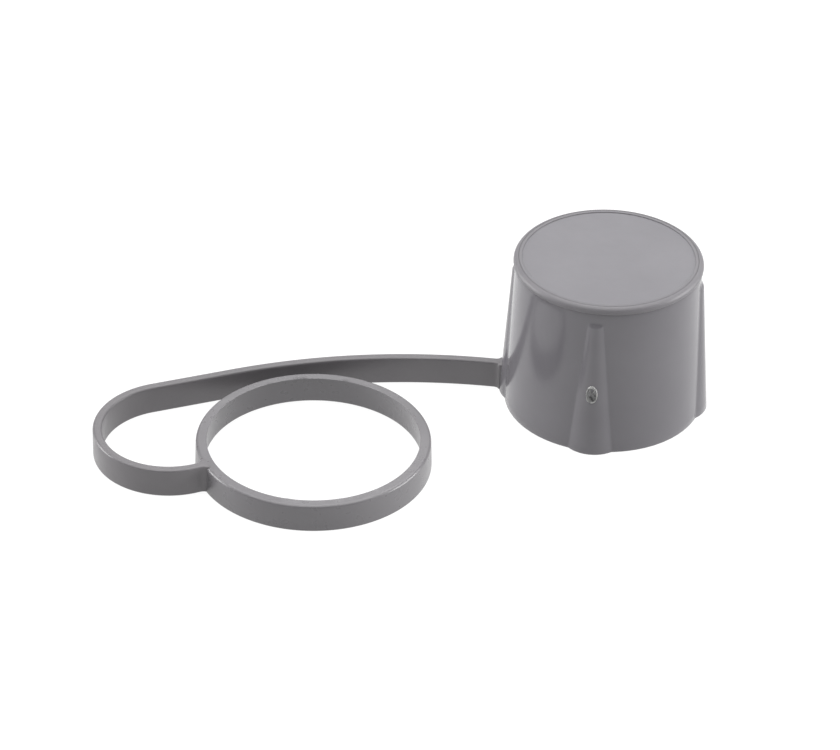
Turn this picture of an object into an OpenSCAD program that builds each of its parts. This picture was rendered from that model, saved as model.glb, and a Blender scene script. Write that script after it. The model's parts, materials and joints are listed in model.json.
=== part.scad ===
// Tethered dust cap: a snap cap, a retaining ring that stays on the neck, and the moulded strap between them.
// The ring stands round the Z axis with its foot on z = 0. The cap stands beside it on its mouth.

/* [Retaining ring] */
// Radius of the ring's hole
ring_hole_r = 14.8; // [12:0.1:18]
// Radius of the ring's outside at its foot
ring_outer_r = 16.3; // [16:0.1:20]
// Height of the ring
ring_h = 4; // [3:0.1:6]
// Lead-in chamfer at the foot of the hole
ring_lead = 0.3; // [0.1:0.05:0.5]
// Rounding of the ring's outer top edge
ring_edge = 0.4; // [0.2:0.05:0.6]

/* [Cap] */
// Centre of the cap, along X from the ring's axis
cap_x = 37.1; // [36:0.1:40]
// Centre of the cap, along Y from the ring's axis
cap_y = 23.5; // [22:0.1:25]
// Height of the cap
cap_h = 23.2; // [22:0.1:30]
// Outer radius of the skirt at its mouth
mouth_r = 13.87; // [13.5:0.01:14.2]
// Outer radius of the skirt just below the rim
neck_r = 12.95; // [12.4:0.01:13]
// Radius of the bore that grips the neck
bore_r = 12.2; // [11:0.05:12.4]
// Height to which the bore stays a true cylinder
bore_top = 10; // [6:0.5:14]
// Inner radius under the top panel
ceiling_r = 11.45; // [10.5:0.05:11.6]
// Thickness of the top panel
panel_t = 1.6; // [1.2:0.1:2.4]
// Outer radius of the rim
rim_r = 13.2; // [12.9:0.01:13.4]
// Height of the rim
rim_h = 1.1; // [0.9:0.05:1.5]
// Rounding of the rim's top edge
rim_edge = 0.75; // [0.4:0.05:0.85]
// Width of the rim's flat top, from the panel to the skirt's line
rim_w = 1.2; // [0.9:0.05:1.3]
// Depth by which the panel lies below the rim
panel_dip = 0.15; // [0.05:0.05:0.4]

/* [Grip lugs] */
// Distance from the cap's axis to a lug's crest at the mouth
lug_mouth_reach = 14.75; // [14.4:0.05:15]
// Distance from the cap's axis to a lug's crest at the lug's top
lug_top_reach = 13.4; // [13.1:0.05:13.5]
// Height at which a lug ends in a small ledge
lug_top_z = 20.2; // [17:0.1:21.5]
// Radius of a lug's round back at the mouth
lug_mouth_r = 4.4; // [3:0.1:6]
// Radius of a lug's round back at its top
lug_top_r = 1.6; // [1:0.1:2.5]
// Width of the oval gate mark on the front lug
gate_w = 1.8; // [1:0.1:2.4]
// Height of the oval gate mark
gate_l = 2.9; // [1.5:0.1:4]
// Height of the gate mark's centre above the mouth
gate_z = 9.6; // [5:0.1:14]

/* [Strap] */
// Height of the strap
strap_h = 4.2; // [3:0.1:6]
// Thickness of the strap
strap_t = 1.3; // [0.8:0.05:1.4]
// Place round the ring where the strap leaves it, in degrees from +X
leave_angle = 213.5; // [210:0.5:216]
// Direction in which the strap leaves, in degrees from +X
leave_heading = 219; // [217:0.5:220]
// Radius of the loop beside the ring
loop_near_r = 10; // [9.5:0.1:10.5]
// Radius of the loop's far side
loop_far_r = 10.5; // [10:0.1:11]
// Turn of each half of the loop, in degrees
loop_half_turn = 95; // [93:0.5:96]
// Length of the straight stretch after the loop
straight_l = 12; // [11:0.1:13]
// Radius of the long sweep to the cap
sweep_r = 76; // [74:0.5:78]
// Distance from either end of the strap to its first flexing line
end_gap = 4; // [3.5:0.1:5]
// Number of links that the flexing part of the strap is cut into
link_count = 10; // [10:1:10]

/* [Hidden] */
$fn = 128;
face_steps = 8; // straight steps along each face of a link
slack = 0.075; // between one link's flat end and the next one's round end
root_l = 0.5; // length of strap that runs into the ring's wall before it is trimmed
gate_h = 0.12; // height of the gate mark above the lug
mouth_lead = 0.5; // height and width of the chamfer inside the cap's mouth
plastic = [0.45, 0.45, 0.46];
light_plastic = [0.58, 0.58, 0.6];

rim_z = cap_h - rim_h;
panel_r = rim_r - rim_w;
link_names = [for (i = [1:link_count]) str("strap_link_", i)];
lug_names = ["lug_right", "lug_back", "lug_strap", "lug_front"];

// ---- The strap's centreline: stretches as [length, radius], where radius 0 is straight ----

function arc_l(radius, turn) = radius * turn * PI / 180;

sweep_turn = leave_heading - 2 * loop_half_turn;
stretches = [
    [root_l, 0],
    [arc_l(loop_near_r, loop_half_turn), loop_near_r],
    [arc_l(loop_far_r, loop_half_turn), loop_far_r],
    [straight_l, 0],
    [arc_l(sweep_r, sweep_turn), sweep_r],
];
stretch_count = len(stretches);

function ahead(heading) = [cos(heading), sin(heading)];
function turn_of(length, radius) = radius == 0 ? 0 : length / radius * 180 / PI;

// Where a stretch leads to from a point and a heading, as [point, heading]; every bend turns right.
function walk(from, length, radius) = radius == 0
    ? [from[0] + length * ahead(from[1]), from[1]]
    : let (to = from[1] - turn_of(length, radius), centre = from[0] + radius * ahead(from[1] - 90))
        [centre + radius * ahead(to + 90), to];

strap_start = [ring_outer_r * ahead(leave_angle) - root_l * ahead(leave_heading), leave_heading];

// Start of stretch n, and its distance along the strap.
function stretch_start(n) = n == 0
    ? strap_start
    : walk(stretch_start(n - 1), stretches[n - 1][0], stretches[n - 1][1]);
function stretch_at(n) = n == 0 ? 0 : stretch_at(n - 1) + stretches[n - 1][0];
strap_l = stretch_at(stretch_count);

// Point and heading at a distance along the strap.
function strap_at(along, n = stretch_count - 1) = along >= stretch_at(n) || n == 0
    ? walk(stretch_start(n), along - stretch_at(n), stretches[n][1])
    : strap_at(along, n - 1);

// The flexing lines: a twist near each end, and upright bends between them.
pitch = (strap_l - 2 * end_gap) / link_count;
function flex_line(i) = end_gap + i * pitch;
function is_twist(i) = i == 0 || i == link_count;

function reverse(list) = [for (k = [len(list) - 1:-1:0]) list[k]];

// ---- Shapes that repeat ----

// One face of the strap between two distances along it: side is +1 on the left and -1 on the right.
function face_points(from, to, side) = [
    for (k = [0:face_steps])
        let (at = strap_at(from + (to - from) * k / face_steps))
            at[0] + side * strap_t / 2 * ahead(at[1] + 90)
];

// The round end on which the next link bends, from the left face to the right.
function knuckle_points(along) = let (at = strap_at(along))
    [for (a = [75:-15:-75]) at[0] + strap_t / 2 * ahead(at[1] + a)];

module strap_run(from, to, round_end = false) {
    linear_extrude(strap_h) polygon(concat(
        face_points(from, to, 1),
        round_end ? knuckle_points(to) : [],
        reverse(face_points(from, to, -1))
    ));
}

module at_cap() {
    translate([cap_x, cap_y, 0]) children();
}

// A solid of revolution that fills the skirt's outside.
module skirt_core() {
    cylinder(r1 = mouth_r, r2 = neck_r, h = rim_z);
}

// One grip lug's cone on the +X side, before the skirt is taken out of it.
module lug_cone() {
    foot = lug_mouth_reach - lug_mouth_r;
    top = lug_top_reach - lug_top_r;
    lean = atan2(top - foot, lug_top_z);
    slant = lug_top_z / cos(lean);
    slope = (lug_mouth_r - lug_top_r) / slant;
    intersection() {
        translate([foot, 0, 0])
            rotate([0, lean, 0])
                translate([0, 0, -2])
                    cylinder(r1 = lug_mouth_r + 2 * slope, r2 = lug_top_r - 2 * slope, h = slant + 4);
        translate([foot - 4, -10, 0]) cube([12, 20, lug_top_z]);
    }
}

module lug(turn) {
    color(plastic) at_cap() rotate(turn) difference() {
        lug_cone();
        skirt_core();
    }
}

// ---- One module for each sub-part ----

module retaining_ring() {
    color(light_plastic) difference() {
        ring_core();
        translate([0, 0, -1]) cylinder(r = ring_hole_r, h = ring_h + 2);
        translate([0, 0, -1])
            cylinder(r1 = ring_hole_r + ring_lead + 1, r2 = ring_hole_r, h = ring_lead + 1);
    }
}

module ring_core() {
    cylinder(r1 = ring_outer_r, r2 = ring_outer_r - 0.1, h = ring_h - ring_edge);
    translate([0, 0, ring_h - ring_edge])
        cylinder(r1 = ring_outer_r - 0.1, r2 = ring_outer_r - 0.1 - ring_edge, h = ring_edge);
}

module strap_ring_root() {
    color(plastic) difference() {
        strap_run(0, end_gap - slack / 2);
        ring_core();
    }
}

// Link i lies between flexing lines i - 1 and i.
module strap_link(i) {
    start = is_twist(i - 1) ? slack / 2 : strap_t / 2 + slack;
    stop = is_twist(i) ? slack / 2 : 0;
    color(plastic) strap_run(flex_line(i - 1) + start, flex_line(i) - stop, round_end = !is_twist(i));
}

module strap_cap_root() {
    color(plastic) difference() {
        strap_run(strap_l - end_gap + slack / 2, strap_l);
        at_cap() {
            skirt_core();
            rotate(180) lug_cone();
        }
    }
}

module cap_skirt() {
    color(plastic) at_cap() difference() {
        skirt_core();
        translate([0, 0, -1]) cylinder(r = bore_r, h = bore_top + 1);
        translate([0, 0, bore_top]) cylinder(r1 = bore_r, r2 = ceiling_r, h = cap_h - panel_t - bore_top);
        translate([0, 0, cap_h - panel_t]) cylinder(r = ceiling_r, h = panel_t);
        translate([0, 0, -1])
            cylinder(r1 = bore_r + mouth_lead + 1, r2 = bore_r, h = mouth_lead + 1);
    }
}

module cap_rim() {
    under = 0.2; // bevel under the rim's overhang
    color(light_plastic) at_cap() rotate_extrude() polygon(concat(
        [
            [panel_r, cap_h],
            [panel_r, rim_z],
            [neck_r, rim_z],
            [rim_r, rim_z + under],
        ],
        [for (a = [0:15:90])
            [rim_r - rim_edge + rim_edge * cos(a), cap_h - rim_edge + rim_edge * sin(a)]]
    ));
}

module cap_top_panel() {
    color(light_plastic) at_cap() {
        translate([0, 0, cap_h - panel_t]) cylinder(r = ceiling_r, h = rim_z - cap_h + panel_t);
        translate([0, 0, rim_z]) cylinder(r = panel_r, h = rim_h - panel_dip);
    }
}

// The witness that the moulding gate leaves, low on the front lug.
module gate_mark() {
    crest = lug_mouth_reach + (lug_top_reach - lug_mouth_reach) * gate_z / lug_top_z;
    color(light_plastic) at_cap() rotate(270) difference() {
        translate([crest - 0.5, 0, gate_z])
            rotate([0, 90, 0])
                linear_extrude(0.5 + gate_h) polygon([for (a = [0:15:345]) [gate_l / 2 * cos(a), gate_w / 2 * sin(a)]]);
        lug_cone();
    }
}

retaining_ring();
strap_ring_root();
for (i = [1:link_count])
    strap_link(i);
strap_cap_root();
cap_skirt();
cap_rim();
cap_top_panel();
for (i = [0:3])
    lug(i * 90);
gate_mark();
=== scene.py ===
"""Tethered dust cap: snap cap, retaining ring and the looped strap between them, in satin grey plastic."""
import json
import math

import bmesh
import bpy
from mathutils import Matrix, Vector, noise

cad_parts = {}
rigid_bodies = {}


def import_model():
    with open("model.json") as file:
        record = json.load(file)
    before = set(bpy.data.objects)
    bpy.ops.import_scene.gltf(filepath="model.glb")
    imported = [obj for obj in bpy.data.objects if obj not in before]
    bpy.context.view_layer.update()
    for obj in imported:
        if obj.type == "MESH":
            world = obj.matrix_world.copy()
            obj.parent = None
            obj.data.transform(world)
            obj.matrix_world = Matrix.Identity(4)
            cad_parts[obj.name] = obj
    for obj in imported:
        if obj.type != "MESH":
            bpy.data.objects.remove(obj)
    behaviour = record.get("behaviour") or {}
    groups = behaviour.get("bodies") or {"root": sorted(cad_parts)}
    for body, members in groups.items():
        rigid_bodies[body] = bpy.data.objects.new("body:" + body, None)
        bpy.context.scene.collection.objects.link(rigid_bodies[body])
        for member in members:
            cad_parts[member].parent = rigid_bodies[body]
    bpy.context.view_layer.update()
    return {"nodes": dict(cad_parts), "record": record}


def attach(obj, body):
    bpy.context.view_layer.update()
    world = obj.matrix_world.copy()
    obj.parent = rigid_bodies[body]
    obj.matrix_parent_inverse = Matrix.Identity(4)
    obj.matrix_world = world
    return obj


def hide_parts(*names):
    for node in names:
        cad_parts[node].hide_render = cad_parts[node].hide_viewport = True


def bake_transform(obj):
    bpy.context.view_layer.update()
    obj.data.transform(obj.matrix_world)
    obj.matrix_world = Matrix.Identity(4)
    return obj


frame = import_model()
MM = 0.001

# ---- Sizes, in millimetres ----

RING_HOLE_FOOT, RING_HOLE_TOP = 15.0, 14.7
RING_OUT_FOOT, RING_OUT_TOP = 16.3, 16.2
RING_H = 4.0
RING_EDGE = 0.48
RING_COLUMNS, CAP_COLUMNS = 288, 240

CAP_X, CAP_Y, CAP_H = 37.1, 23.5, 23.2
MOUTH_R, NECK_R = 13.87, 12.95
BORE_R, BORE_TOP, CEILING_R, PANEL_T = 12.2, 10.0, 11.45, 1.6
RIM_R, RIM_H, RIM_EDGE, RIM_W, PANEL_DIP = 13.2, 1.1, 0.75, 1.2, 0.10
RIM_Z = CAP_H - RIM_H
PANEL_R = RIM_R - RIM_W

LUG_MOUTH_REACH, LUG_TOP_REACH, LUG_TOP_Z = 14.75, 13.4, 20.2
LUG_MOUTH_R, LUG_TOP_R = 4.4, 1.6
CREASE = 0.10  # size of the fillet where a lug meets the skirt
GATE_Z, GATE_WIDE, GATE_TALL = 9.6, 0.88, 1.42
GATE_EYE_UP = 0.72  # height of the scar's small round eye above its middle

STRAP_T, STRAP_H = 1.3, 4.2
LEAVE_ANGLE, LEAVE_HEADING = 213.5, 219.0
LOOP_NEAR_R, LOOP_FAR_R, LOOP_HALF_TURN = 10.0, 10.5, 95.0
STRAIGHT_L, SWEEP_R, ROOT_L = 12.0, 76.0, 0.5
FLEX_REACH = 2.6  # distance measured out along the strap to each side of a flexing line


# ---- Camera ----

def aim_camera():
    """A long lens a little above the object, looking down at it from the front."""
    camera = bpy.data.objects.new("camera", bpy.data.cameras.new("camera"))
    bpy.context.scene.collection.objects.link(camera)
    camera.data.sensor_width = 36.0
    camera.data.lens = 183.3
    camera.data.clip_start, camera.data.clip_end = 0.01, 20.0
    side = Vector((0.98617, 0.16605, 0.01454)).normalized()
    ahead = Vector((-0.1300, 0.8206, -0.5566)).normalized()
    side = (side - ahead * side.dot(ahead)).normalized()
    up = side.cross(ahead)
    turn = Matrix((side, up, -ahead)).transposed().to_4x4()
    camera.matrix_world = Matrix.Translation((0.08994, -0.47521, 0.33861)) @ turn
    bpy.context.scene.camera = camera


aim_camera()


# ---- Shader node groups ----

def socket(tree, name, kind, output=False, value=None):
    made = tree.interface.new_socket(name, in_out="OUTPUT" if output else "INPUT", socket_type=kind)
    if value is not None:
        made.default_value = value
    return made


def add(tree, kind, x=0, y=0, **settings):
    made = tree.nodes.new(kind)
    made.location = (x, y)
    for key, value in settings.items():
        setattr(made, key, value)
    return made


def new_group(name, inputs, outputs):
    tree = bpy.data.node_groups.new(name, "ShaderNodeTree")
    for label, kind, value in inputs:
        socket(tree, label, kind, value=value)
    for label, kind in outputs:
        socket(tree, label, kind, output=True)
    return tree, add(tree, "NodeGroupInput", -900), add(tree, "NodeGroupOutput", 900)


def number(tree, operation, a, b, x=0, y=0):
    """One Math node; a and b are sockets or plain numbers."""
    made = add(tree, "ShaderNodeMath", x, y, operation=operation)
    for slot, value in enumerate((a, b)):
        if isinstance(value, (int, float)):
            made.inputs[slot].default_value = value
        else:
            tree.links.new(value, made.inputs[slot])
    return made.outputs[0]


def noise_at(tree, coords, scale, detail, x, y):
    made = add(tree, "ShaderNodeTexNoise", x, y)
    made.inputs["Detail"].default_value = detail
    made.inputs["Roughness"].default_value = 0.5
    tree.links.new(coords, made.inputs["Vector"])
    if isinstance(scale, (int, float)):
        made.inputs["Scale"].default_value = scale
    else:
        tree.links.new(scale, made.inputs["Scale"])
    return made.outputs["Fac"]


def make_skin_group():
    """The moulded skin: slow sink waves, fine spark grain and short flow streaks, as one height."""
    tree, given, out = new_group(
        "moulded skin",
        [("Grain size", "NodeSocketFloat", 2600.0), ("Grain", "NodeSocketFloat", 0.25),
         ("Waves", "NodeSocketFloat", 0.5), ("Streaks", "NodeSocketFloat", 0.2)],
        [("Height", "NodeSocketFloat")],
    )
    coords = add(tree, "ShaderNodeTexCoord", -900, 300).outputs["Object"]
    grain = noise_at(tree, coords, given.outputs["Grain size"], 3.0, -500, 300)
    waves = noise_at(tree, coords, 150.0, 1.0, -500, 0)
    stretch = add(tree, "ShaderNodeMapping", -700, -300)
    stretch.inputs["Scale"].default_value = (900.0, 900.0, 120.0)
    tree.links.new(coords, stretch.inputs["Vector"])
    streaks = noise_at(tree, stretch.outputs["Vector"], 1.0, 2.0, -500, -300)
    total = number(tree, "MULTIPLY", grain, given.outputs["Grain"], -200, 300)
    for value, amount, y in ((waves, "Waves", 0), (streaks, "Streaks", -300)):
        share = number(tree, "MULTIPLY", value, given.outputs[amount], -200, y)
        total = number(tree, "ADD", total, share, 100, y)
    tree.links.new(total, out.inputs["Height"])
    return tree


def make_drift_group():
    """Slow unevenness of the pigment, for colour and for sheen."""
    tree, given, out = new_group(
        "pigment drift",
        [("Dark", "NodeSocketColor", (0.1, 0.1, 0.1, 1)), ("Light", "NodeSocketColor", (0.2, 0.2, 0.2, 1)),
         ("Patch size", "NodeSocketFloat", 90.0), ("Sheen low", "NodeSocketFloat", 0.36),
         ("Sheen high", "NodeSocketFloat", 0.46)],
        [("Color", "NodeSocketColor"), ("Roughness", "NodeSocketFloat")],
    )
    coords = add(tree, "ShaderNodeTexCoord", -900, 300).outputs["Object"]
    patches = noise_at(tree, coords, given.outputs["Patch size"], 3.0, -500, 200)
    spread = add(tree, "ShaderNodeMapRange", -250, 200)
    spread.inputs["From Min"].default_value, spread.inputs["From Max"].default_value = 0.3, 0.7
    tree.links.new(patches, spread.inputs["Value"])
    mixed = add(tree, "ShaderNodeMix", 100, 300, data_type="RGBA")
    tree.links.new(spread.outputs["Result"], mixed.inputs["Factor"])
    tree.links.new(given.outputs["Dark"], mixed.inputs[6])
    tree.links.new(given.outputs["Light"], mixed.inputs[7])
    tree.links.new(mixed.outputs[2], out.inputs["Color"])
    fine = noise_at(tree, coords, 700.0, 2.0, -500, -200)
    sheen = add(tree, "ShaderNodeMapRange", 100, -200)
    sheen.inputs["From Min"].default_value, sheen.inputs["From Max"].default_value = 0.3, 0.7
    tree.links.new(fine, sheen.inputs["Value"])
    tree.links.new(given.outputs["Sheen low"], sheen.inputs["To Min"])
    tree.links.new(given.outputs["Sheen high"], sheen.inputs["To Max"])
    tree.links.new(sheen.outputs["Result"], out.inputs["Roughness"])
    return tree


def make_speck_group():
    """Tiny grains of dust and regrind: a sparse mask of round specks."""
    tree, given, out = new_group(
        "specks",
        [("Spacing", "NodeSocketFloat", 420.0), ("Size", "NodeSocketFloat", 0.06),
         ("Share", "NodeSocketFloat", 0.04)],
        [("Mask", "NodeSocketFloat")],
    )
    coords = add(tree, "ShaderNodeTexCoord", -900, 300).outputs["Object"]
    cells = add(tree, "ShaderNodeTexVoronoi", -600, 200)
    tree.links.new(coords, cells.inputs["Vector"])
    tree.links.new(given.outputs["Spacing"], cells.inputs["Scale"])
    near = number(tree, "LESS_THAN", cells.outputs["Distance"], given.outputs["Size"], -300, 200)
    pick = add(tree, "ShaderNodeSeparateColor", -300, 0)
    tree.links.new(cells.outputs["Color"], pick.inputs["Color"])
    chosen = number(tree, "LESS_THAN", pick.outputs[0], given.outputs["Share"], -100, 0)
    tree.links.new(number(tree, "MULTIPLY", near, chosen, 200, 100), out.inputs["Mask"])
    return tree


SKIN, DRIFT, SPECKS = make_skin_group(), make_drift_group(), make_speck_group()


# ---- Materials ----

def use(tree, group, x, y, **values):
    made = add(tree, "ShaderNodeGroup", x, y, node_tree=group)
    for name, value in values.items():
        made.inputs[name.replace("_", " ")].default_value = value
    return made


def satin_plastic(name, dark, light, sheen=(0.36, 0.46), grain=0.25, waves=0.5, streaks=0.2,
                  bump=0.12, speck_share=0.03, specular=0.5, patch=110.0):
    """Grey moulded plastic with a soft sheen."""
    made = bpy.data.materials.new(name)
    made.use_nodes = True
    tree = made.node_tree
    shader = tree.nodes["Principled BSDF"]
    shader.inputs["IOR"].default_value = 1.5
    shader.inputs["Specular IOR Level"].default_value = specular
    drift = use(tree, DRIFT, -900, 200, Dark=(*dark, 1), Light=(*light, 1), Patch_size=patch,
                Sheen_low=sheen[0], Sheen_high=sheen[1])
    pale = use(tree, SPECKS, -900, -50, Spacing=330.0, Size=0.045, Share=speck_share)
    deep = use(tree, SPECKS, -900, -200, Spacing=290.0, Size=0.04, Share=speck_share * 0.7)
    lit = add(tree, "ShaderNodeMix", -500, 200, data_type="RGBA")
    tree.links.new(pale.outputs["Mask"], lit.inputs["Factor"])
    tree.links.new(drift.outputs["Color"], lit.inputs[6])
    lit.inputs[7].default_value = (0.5, 0.5, 0.5, 1)
    sunk = add(tree, "ShaderNodeMix", -300, 200, data_type="RGBA")
    tree.links.new(deep.outputs["Mask"], sunk.inputs["Factor"])
    tree.links.new(lit.outputs[2], sunk.inputs[6])
    sunk.inputs[7].default_value = (0.05, 0.045, 0.045, 1)
    tree.links.new(sunk.outputs[2], shader.inputs["Base Color"])
    tree.links.new(drift.outputs["Roughness"], shader.inputs["Roughness"])
    skin = use(tree, SKIN, -900, -400, Grain=grain, Waves=waves, Streaks=streaks)
    press = add(tree, "ShaderNodeBump", -300, -300)
    press.inputs["Strength"].default_value = bump
    press.inputs["Distance"].default_value = 0.0002
    tree.links.new(skin.outputs["Height"], press.inputs["Height"])
    tree.links.new(press.outputs["Normal"], shader.inputs["Normal"])
    return made


WALL_PLASTIC = satin_plastic("smooth grey wall", (0.124, 0.119, 0.130), (0.136, 0.131, 0.142),
                             sheen=(0.14, 0.19), bump=0.05, speck_share=0.006)
RING_PLASTIC = satin_plastic("satin grey ring", (0.131, 0.126, 0.133), (0.145, 0.140, 0.147),
                             sheen=(0.26, 0.34), bump=0.06, speck_share=0.008)
STRAP_PLASTIC = satin_plastic("satin grey strap", (0.122, 0.116, 0.122), (0.136, 0.130, 0.136),
                              sheen=(0.30, 0.38), streaks=0.5, speck_share=0.008)
# The panel's grey is a lighter copy of the wall's grey: painted light on the top face, where the overhead light
# falls.
TOP_LIT_PANEL_PLASTIC = satin_plastic("satin grey panel painted lighter", (0.137, 0.133, 0.144), (0.149, 0.145, 0.156),
                              sheen=(0.32, 0.40), waves=0.8, speck_share=0.03)
RIM_PLASTIC = satin_plastic("soft grey rim", (0.134, 0.129, 0.138), (0.144, 0.139, 0.148),
                            sheen=(0.42, 0.50), bump=0.08, speck_share=0.006, specular=0.45)
# The lip is coloured much lighter than the wall: a painted highlight on the raised lip, mottled by fine patches.
GATE_LIP_PAINTED_HIGHLIGHT = satin_plastic("torn gate lip with painted highlight", (0.08, 0.08, 0.08), (0.40, 0.40, 0.39), patch=1500.0,
                             sheen=(0.25, 0.5), grain=1.6, bump=0.7)
PIT_PLASTIC = satin_plastic("dull gate pit", (0.03, 0.03, 0.03), (0.26, 0.26, 0.26), patch=1900.0,
                            sheen=(0.4, 0.6), grain=1.6, bump=0.7)


# ---- Mesh helpers ----

def make_piece(name, points, faces, material, body, sharp_angle=38.0):
    """A mesh piece from points in millimetres, with its normals outward."""
    mesh = bpy.data.meshes.new(name)
    mesh.from_pydata([Vector(p) * MM for p in points], [], faces)
    mesh.validate()
    work = bmesh.new()
    work.from_mesh(mesh)
    bmesh.ops.remove_doubles(work, verts=work.verts, dist=1e-7)
    bmesh.ops.recalc_face_normals(work, faces=work.faces)
    for edge in work.edges:
        if len(edge.link_faces) == 2 and edge.calc_face_angle(0.0) > math.radians(sharp_angle):
            edge.smooth = False
    for face in work.faces:
        face.smooth = True
    work.to_mesh(mesh)
    work.free()
    mesh.materials.append(material)
    piece = bpy.data.objects.new(name, mesh)
    bpy.context.scene.collection.objects.link(piece)
    if body:
        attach(piece, body)
    return piece


def stitch(rows, close_rows=False, close_columns=True):
    """Points and faces of a grid given as rows of points."""
    wide, tall = len(rows[0]), len(rows)
    points = [p for row in rows for p in row]
    faces = []
    for i in range(tall if close_rows else tall - 1):
        for j in range(wide if close_columns else wide - 1):
            a, b = i * wide, (i + 1) % tall * wide
            faces.append((a + j, a + (j + 1) % wide, b + (j + 1) % wide, b + j))
    return points, faces


def arc(x, z, radius, first, last, steps):
    """Points on an arc in the radius and height plane, by angle in degrees."""
    return [
        (x + radius * math.cos(math.radians(first + (last - first) * k / steps)),
         z + radius * math.sin(math.radians(first + (last - first) * k / steps)))
        for k in range(steps + 1)
    ]


def lathe(profile, columns, centre=(0.0, 0.0)):
    """Rows of points for a profile of (radius, height) turned about an upright axis."""
    return [
        [(centre[0] + r * math.cos(2 * math.pi * j / columns),
          centre[1] + r * math.sin(2 * math.pi * j / columns), z) for j in range(columns)]
        for r, z in profile
    ]


# ---- Retaining ring ----

def make_ring():
    """A plain band: drafted hole, rounded outer top edge, crisp inner edge with a trace of flash."""
    lead = 0.12  # small chamfer at the foot
    profile = [(RING_HOLE_FOOT + lead, 0.0), (RING_OUT_FOOT - lead, 0.0)]
    profile += arc(RING_OUT_FOOT - lead, lead, lead, -60, 0, 3)
    profile += [(RING_OUT_FOOT - 0.05, RING_H * 0.5)]
    profile += arc(RING_OUT_TOP - RING_EDGE, RING_H - RING_EDGE, RING_EDGE, 0, 90, 6)
    profile += [(RING_HOLE_TOP + 0.10, RING_H), (RING_HOLE_TOP + 0.05, RING_H + 0.03),
                (RING_HOLE_TOP, RING_H - 0.02), (RING_HOLE_TOP + 0.01, RING_H - 0.12)]
    profile += [(RING_HOLE_FOOT, lead)]
    rows = lathe(profile, RING_COLUMNS)
    flash = len(profile) - 4
    for j in range(RING_COLUMNS):
        x, y, _ = rows[flash][j]
        lift = max(0.0, noise.noise(Vector((x * 0.9, y * 0.9, 3.0)))) * 0.06
        rows[flash][j] = (x, y, RING_H + 0.005 + lift)
    points, faces = stitch(rows, close_rows=True)
    ring = make_piece("ring_band", points, faces, RING_PLASTIC, "ring")
    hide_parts("retaining_ring")


# ---- Cap ----

def lug_at(z):
    """Centre distance, back radius and skirt radius of the lug section at a height."""
    share = z / LUG_TOP_Z
    reach = LUG_MOUTH_REACH + (LUG_TOP_REACH - LUG_MOUTH_REACH) * share
    back = LUG_MOUTH_R + (LUG_TOP_R - LUG_MOUTH_R) * share
    return reach - back, back


def skirt_r(z):
    return MOUTH_R + (NECK_R - MOUTH_R) * z / RIM_Z


def lug_half_turn(z):
    """Half the angle that a lug takes up round the skirt."""
    centre, back = lug_at(z)
    skirt = skirt_r(z)
    return math.acos((skirt ** 2 + centre ** 2 - back ** 2) / (2 * skirt * centre))


def lug_r(z, turn):
    """Distance from the cap's axis to a lug's back, at an angle from its crest."""
    centre, back = lug_at(z)
    inside = back ** 2 - (centre * math.sin(turn)) ** 2
    return centre * math.cos(turn) + math.sqrt(inside) if inside > 0 else 0.0


def outer_r(z, turn, lug_share):
    """Skirt and lug together, with a small fillet in the crease."""
    at = min(z, LUG_TOP_Z)
    proud = lug_r(at, turn) - skirt_r(at)
    blend = max(CREASE - abs(proud), 0.0) / CREASE
    return skirt_r(z) + (max(proud, 0.0) + blend * blend * CREASE / 4) * lug_share


def spread_turns(z):
    """Angles of the columns round the cap, gathered beside each lug's creases, with each one's turn from its lug."""
    half = lug_half_turn(min(z, LUG_TOP_Z)) * 1.06
    quarter = math.pi / 2
    on_lug = [math.sin(math.pi / 2 * k / 9) for k in range(-9, 10)]
    turns = []
    for i in range(4):
        for t in on_lug:
            turns.append((i * quarter + half * t, half * t))
        for k in range(1, 16):
            share = 0.5 - 0.5 * math.cos(math.pi * k / 16)
            turn = half + (quarter - 2 * half) * share
            turns.append((i * quarter + turn, turn if turn < quarter / 2 else turn - quarter))
    return turns


def make_cap():
    """Skirt and lugs in one skin, closed through the mouth and up the bore."""
    # each level is a height, how far the lugs stand out there, and how much the outline is moved out
    levels = [(0.0, 1.0, -0.10), (0.03, 1.0, -0.04), (0.10, 1.0, 0.0)]
    levels += [(0.10 + (LUG_TOP_Z - 0.45) * (k / 20), 1.0, 0.0) for k in range(1, 20)]
    levels += [(LUG_TOP_Z - 0.30, 1.0, 0.0), (LUG_TOP_Z - 0.16, 0.96, 0.0), (LUG_TOP_Z - 0.02, 0.78, 0.0),
               (LUG_TOP_Z + 0.14, 0.40, 0.0), (LUG_TOP_Z + 0.30, 0.10, 0.0), (LUG_TOP_Z + 0.45, 0.0, 0.0)]
    levels += [(21.0, 0.0, 0.0), (RIM_Z - 0.05, 0.0, 0.0), (RIM_Z, 0.0, -0.01)]
    rows = []
    for z, share, inset in levels:
        row = []
        for angle, turn in spread_turns(z):
            r = outer_r(z, turn, share) + inset
            row.append((CAP_X + r * math.cos(angle), CAP_Y + r * math.sin(angle), z))
        rows.append(row)
    top_turns, foot_turns = spread_turns(RIM_Z), spread_turns(0.0)
    inside = [(CEILING_R, RIM_Z), (CEILING_R, CAP_H - PANEL_T), (BORE_R - 0.3, 16.0), (BORE_R, BORE_TOP),
              (BORE_R, 0.6), (BORE_R + 0.05, 0.5), (BORE_R + 0.45, 0.08), (BORE_R + 0.55, 0.0)]
    for r, z in inside:
        share = 1.0 - z / RIM_Z
        row = []
        for (high, _), (low, _) in zip(top_turns, foot_turns):
            angle = high + (low - high) * share
            row.append((CAP_X + r * math.cos(angle), CAP_Y + r * math.sin(angle), z))
        rows.append(row)
    points, faces = stitch(rows, close_rows=True)
    skirt = make_piece("cap_skirt_and_lugs", points, faces, WALL_PLASTIC, "cap", sharp_angle=50.0)
    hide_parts("cap_skirt", "lug_right", "lug_back", "lug_strap", "lug_front")


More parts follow.
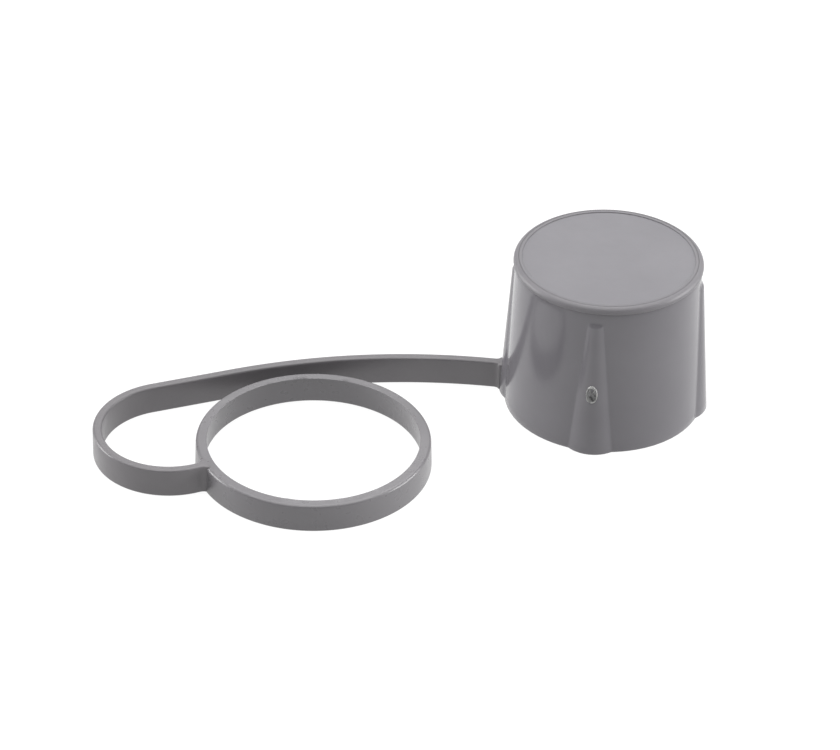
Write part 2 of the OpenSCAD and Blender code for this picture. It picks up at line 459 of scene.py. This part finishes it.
def make_rim():
    """The rounded rim that stands a little over the skirt and over the panel."""
    profile = [(PANEL_R, RIM_Z), (NECK_R + 0.02, RIM_Z),
               (RIM_R - 0.12, RIM_Z + 0.06), (RIM_R - 0.03, RIM_Z + 0.16)]
    profile += arc(RIM_R - RIM_EDGE, CAP_H - RIM_EDGE, RIM_EDGE, 0, 90, 12)
    profile += [(PANEL_R + 0.5, CAP_H), (PANEL_R + 0.05, CAP_H), (PANEL_R, CAP_H - 0.04)]
    points, faces = stitch(lathe(profile, CAP_COLUMNS, (CAP_X, CAP_Y)), close_rows=True)
    rim = make_piece("cap_rim_band", points, faces, RIM_PLASTIC, "cap")
    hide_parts("cap_rim")


def make_panel():
    """The flat top, a little below the rim and crowned by a hair."""
    top = CAP_H - PANEL_DIP
    profile = [(0.0, top + 0.02), (4.0, top + 0.018), (8.0, top + 0.01), (PANEL_R - 0.2, top),
               (PANEL_R - 0.004, top - 0.01), (PANEL_R - 0.004, RIM_Z + 0.01), (CEILING_R - 0.01, RIM_Z + 0.01),
               (CEILING_R - 0.01, CAP_H - PANEL_T), (0.0, CAP_H - PANEL_T)]
    rows = lathe(profile[1:-1], CAP_COLUMNS, (CAP_X, CAP_Y))
    points, faces = stitch(rows)
    wide, last = CAP_COLUMNS, len(rows) - 1
    points += [(CAP_X, CAP_Y, profile[0][1]), (CAP_X, CAP_Y, profile[-1][1])]
    faces += [(len(points) - 2, (j + 1) % wide, j) for j in range(wide)]
    faces += [(len(points) - 1, last * wide + j, last * wide + (j + 1) % wide) for j in range(wide)]
    # the panel's lighter grey is painted top light
    panel = make_piece("cap_panel", points, faces, TOP_LIT_PANEL_PLASTIC, "cap")
    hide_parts("cap_top_panel")


def make_gate_mark():
    """The torn scar of the gate on the front lug: a rough oval lip round a dull pit, the lip coloured lighter as a
    painted highlight.
    """
    around, rings = 72, 14
    rows = []
    for i in range(rings + 1):
        share = i / rings
        row = []
        for j in range(around):
            a = 2 * math.pi * j / around
            wobble = 1 + 0.10 * noise.noise(Vector((2.2 * math.cos(a), 2.2 * math.sin(a), 5.0)))
            across, up = GATE_WIDE * share * wobble * math.cos(a), GATE_TALL * share * wobble * math.sin(a)
            lip = math.exp(-((share - 0.86) / 0.07) ** 2)
            rough = noise.noise(Vector((across * 2.6, up * 2.6, 1.0)))
            knob = math.exp(-((across / 0.34) ** 2 + ((up - GATE_EYE_UP) / 0.38) ** 2))
            pit = math.exp(-((across / 0.22) ** 2 + ((up - GATE_EYE_UP) / 0.24) ** 2))
            height = 0.17 * lip * (1 + 0.9 * rough) + 0.12 * knob - 0.16 * pit + 0.05 * rough * (1 - share)
            height -= 0.05 * max(0.0, (share - 0.93) / 0.07)  # the rim of the scar sinks into the lug
            z = GATE_Z + up
            turn = across / LUG_MOUTH_REACH
            r = lug_r(z, turn) + 0.005 + height
            angle = -math.pi / 2 + turn
            row.append((CAP_X + r * math.cos(angle), CAP_Y + r * math.sin(angle), z))
        rows.append(row)
    rows[0] = [rows[0][0]] * around
    back = []
    for x, y, z in rows[-1]:
        back.append((x, y + 0.25, z))  # closed behind, inside the lug
    rows.append(back)
    points, faces = stitch(rows)
    faces.append(tuple((rings + 1) * around + j for j in range(around)))
    mark = make_piece("gate_scar", points, faces, GATE_LIP_PAINTED_HIGHLIGHT, "cap", sharp_angle=80.0)
    mark.data.materials.append(PIT_PLASTIC)
    # faces on the lip and round the eye take the lighter lip colour, a painted highlight; the rest take the pit's
    # colour
    for face in mark.data.polygons:
        across, up = face.center.x / MM - CAP_X, face.center.z / MM - GATE_Z
        share = math.hypot(across / GATE_WIDE, up / GATE_TALL)
        ring = math.hypot(across / 0.40, (up - GATE_EYE_UP) / 0.44)
        face.material_index = 1 if share < 0.76 and not 0.68 < ring < 1.05 else 0
    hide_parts("gate_mark")


# ---- Strap ----

def heading_vector(heading):
    return Vector((math.cos(math.radians(heading)), math.sin(math.radians(heading)), 0.0))


def walk(point, heading, length, radius):
    """Where a stretch leads to; every bend turns right."""
    if radius == 0:
        return point + heading_vector(heading) * length, heading
    end = heading - math.degrees(length / radius)
    centre = point + heading_vector(heading - 90) * radius
    return centre + heading_vector(end + 90) * radius, end


SWEEP_TURN = LEAVE_HEADING - 2 * LOOP_HALF_TURN
STRETCHES = [
    (ROOT_L, 0.0),
    (LOOP_NEAR_R * math.radians(LOOP_HALF_TURN), LOOP_NEAR_R),
    (LOOP_FAR_R * math.radians(LOOP_HALF_TURN), LOOP_FAR_R),
    (STRAIGHT_L, 0.0),
    (SWEEP_R * math.radians(SWEEP_TURN), SWEEP_R),
]
STRAP_L = sum(length for length, radius in STRETCHES)
STRAP_START = heading_vector(LEAVE_ANGLE) * RING_OUT_FOOT - heading_vector(LEAVE_HEADING) * ROOT_L


def strap_at(along):
    """Centreline point and heading at a distance along the strap."""
    point, heading = STRAP_START, LEAVE_HEADING
    for length, radius in STRETCHES[:-1]:
        if along <= length:
            return walk(point, heading, along, radius)
        point, heading = walk(point, heading, length, radius)
        along -= length
    return walk(point, heading, along, STRETCHES[-1][1])


def strap_section(flare):
    """The strap's cross section as (across, height), with rounded edges, wider by flare on each side."""
    half, top, foot = STRAP_T / 2 + flare, 0.38, 0.18
    steps = 6
    section = []
    for x, z, radius, first in ((half - top, STRAP_H - top, top, 0), (-half + top, STRAP_H - top, top, 90),
                                (-half + foot, foot, foot, 180), (half - foot, foot, foot, 270)):
        section += arc(x, z, radius, first, first + 90, steps)
    # each side keeps a point halfway up, so that the long sides shade evenly
    upper = 2 * (steps + 1)
    return section[:upper] + [(-half, STRAP_H / 2)] + section[upper:] + [(half, STRAP_H / 2)]


def root_flare(along):
    """How much each side widens where the strap runs into the ring or the cap."""
    reach = 0.75
    near = (along - 0.55) / reach
    far = (STRAP_L - 0.42 - along) / reach
    share = min(max(min(near, far), 0.0), 1.0)
    return 0.45 * (1.0 - math.sqrt(1.0 - (1.0 - share) ** 2))


def hinge_places():
    """Distance along the strap of each joint that cuts it, in order, with the bodies on its two sides."""
    steps = 4000
    line = [(STRAP_L * k / steps, strap_at(STRAP_L * k / steps)[0]) for k in range(steps + 1)]
    places = []
    for joint in frame["record"]["behaviour"]["joints"]:
        at = Vector((joint["pos_m"][0], joint["pos_m"][1], 0.0)) / MM
        along = min(line, key=lambda entry: (entry[1] - at).length)[0]
        places.append((along, joint["parent"], joint["child"]))
    return sorted(places)


def make_strap():
    """One strip in pieces, split midway between the flexing lines."""
    places = hinge_places()
    links = sorted((name for name in frame["nodes"] if name.startswith("strap_link_")),
                   key=lambda name: int(name.split("_")[-1]))
    stand_ins = ["strap_ring_root"] + links
    for k, (along, parent, child) in enumerate(places):
        start = 0.0 if k == 0 else (places[k - 1][0] + along) / 2
        stop = STRAP_L if k == len(places) - 1 else (along + places[k + 1][0]) / 2
        count = max(12, round((stop - start) / 0.33))
        inner = [start + 0.06 + (stop - start - 0.12) * i / count for i in range(count + 1)]
        rows = []
        for at in [start] + inner + [stop]:
            point, heading = strap_at(at)
            across = heading_vector(heading + 90)
            rows.append([tuple(point + across * x + Vector((0, 0, z))) for x, z in strap_section(root_flare(at))])
        points, faces = stitch(rows)
        wide = len(rows[0])
        faces += [tuple(range(wide))[::-1], tuple((len(rows) - 1) * wide + j for j in range(wide))]
        piece = make_piece("strap_run_%02d" % k, points, faces, STRAP_PLASTIC, None)
        reach = min(FLEX_REACH, along - start - 0.3, stop - along - 0.3)
        begin, end = strap_at(along - reach)[0] * MM, strap_at(along + reach)[0] * MM
        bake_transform(piece)
        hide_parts(stand_ins[k])
        if k == len(places) - 1:
            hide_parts("strap_cap_root")


make_ring()
make_cap()
make_rim()
make_panel()
make_gate_mark()
make_strap()


# ---- Floor and light ----

def make_floor():
    mesh = bpy.data.meshes.new("floor")
    half = 3.0
    mesh.from_pydata([(-half, -half, 0), (half, -half, 0), (half, half, 0), (-half, half, 0)], [], [(0, 1, 2, 3)])
    floor = bpy.data.objects.new("floor", mesh)
    bpy.context.scene.collection.objects.link(floor)
    floor.location = (0, 0, -0.00005)
    paint = bpy.data.materials.new("white light table")
    paint.use_nodes = True
    shader = paint.node_tree.nodes["Principled BSDF"]
    shader.inputs["Base Color"].default_value = (0.14, 0.14, 0.14, 1)
    shader.inputs["Roughness"].default_value = 0.9
    shader.inputs["Specular IOR Level"].default_value = 0.0
    shader.inputs["Emission Color"].default_value = (1, 1, 1, 1)
    shader.inputs["Emission Strength"].default_value = 0.9
    mesh.materials.append(paint)


def softbox(name, place, target, wide, tall, power):
    lamp = bpy.data.lights.new(name, "AREA")
    lamp.shape = "RECTANGLE"
    lamp.size, lamp.size_y = wide, tall
    lamp.energy = power
    made = bpy.data.objects.new(name, lamp)
    bpy.context.scene.collection.objects.link(made)
    made.location = place
    made.rotation_euler = (Vector(target) - Vector(place)).to_track_quat("-Z", "Y").to_euler()


def make_light():
    middle = (0.02, 0.01, 0.01)
    softbox("softbox above", (0.0, 0.05, 0.95), middle, 1.7, 1.5, 24.5)
    softbox("softbox behind", (0.15, 1.5, 0.85), middle, 2.4, 1.0, 9.0)
    softbox("softbox left", (-1.2, 0.1, 0.30), middle, 0.7, 0.6, 14.0)
    softbox("softbox right", (1.25, 0.25, 0.30), middle, 0.7, 0.6, 16.0)
    world = bpy.data.worlds.new("studio")
    world.use_nodes = True
    sky = world.node_tree.nodes["Background"]
    sky.inputs["Color"].default_value = (0.9, 0.9, 0.92, 1)
    # the backdrop looks pale to the camera without lighting the part
    backdrop, fill = 0.9, 0.07
    tree = world.node_tree
    seen = number(tree, "MULTIPLY", add(tree, "ShaderNodeLightPath").outputs["Is Camera Ray"], backdrop)
    tree.links.new(number(tree, "ADD", seen, fill), sky.inputs["Strength"])
    bpy.context.scene.world = world
    bpy.context.scene.view_settings.view_transform = "Standard"


make_floor()
make_light()
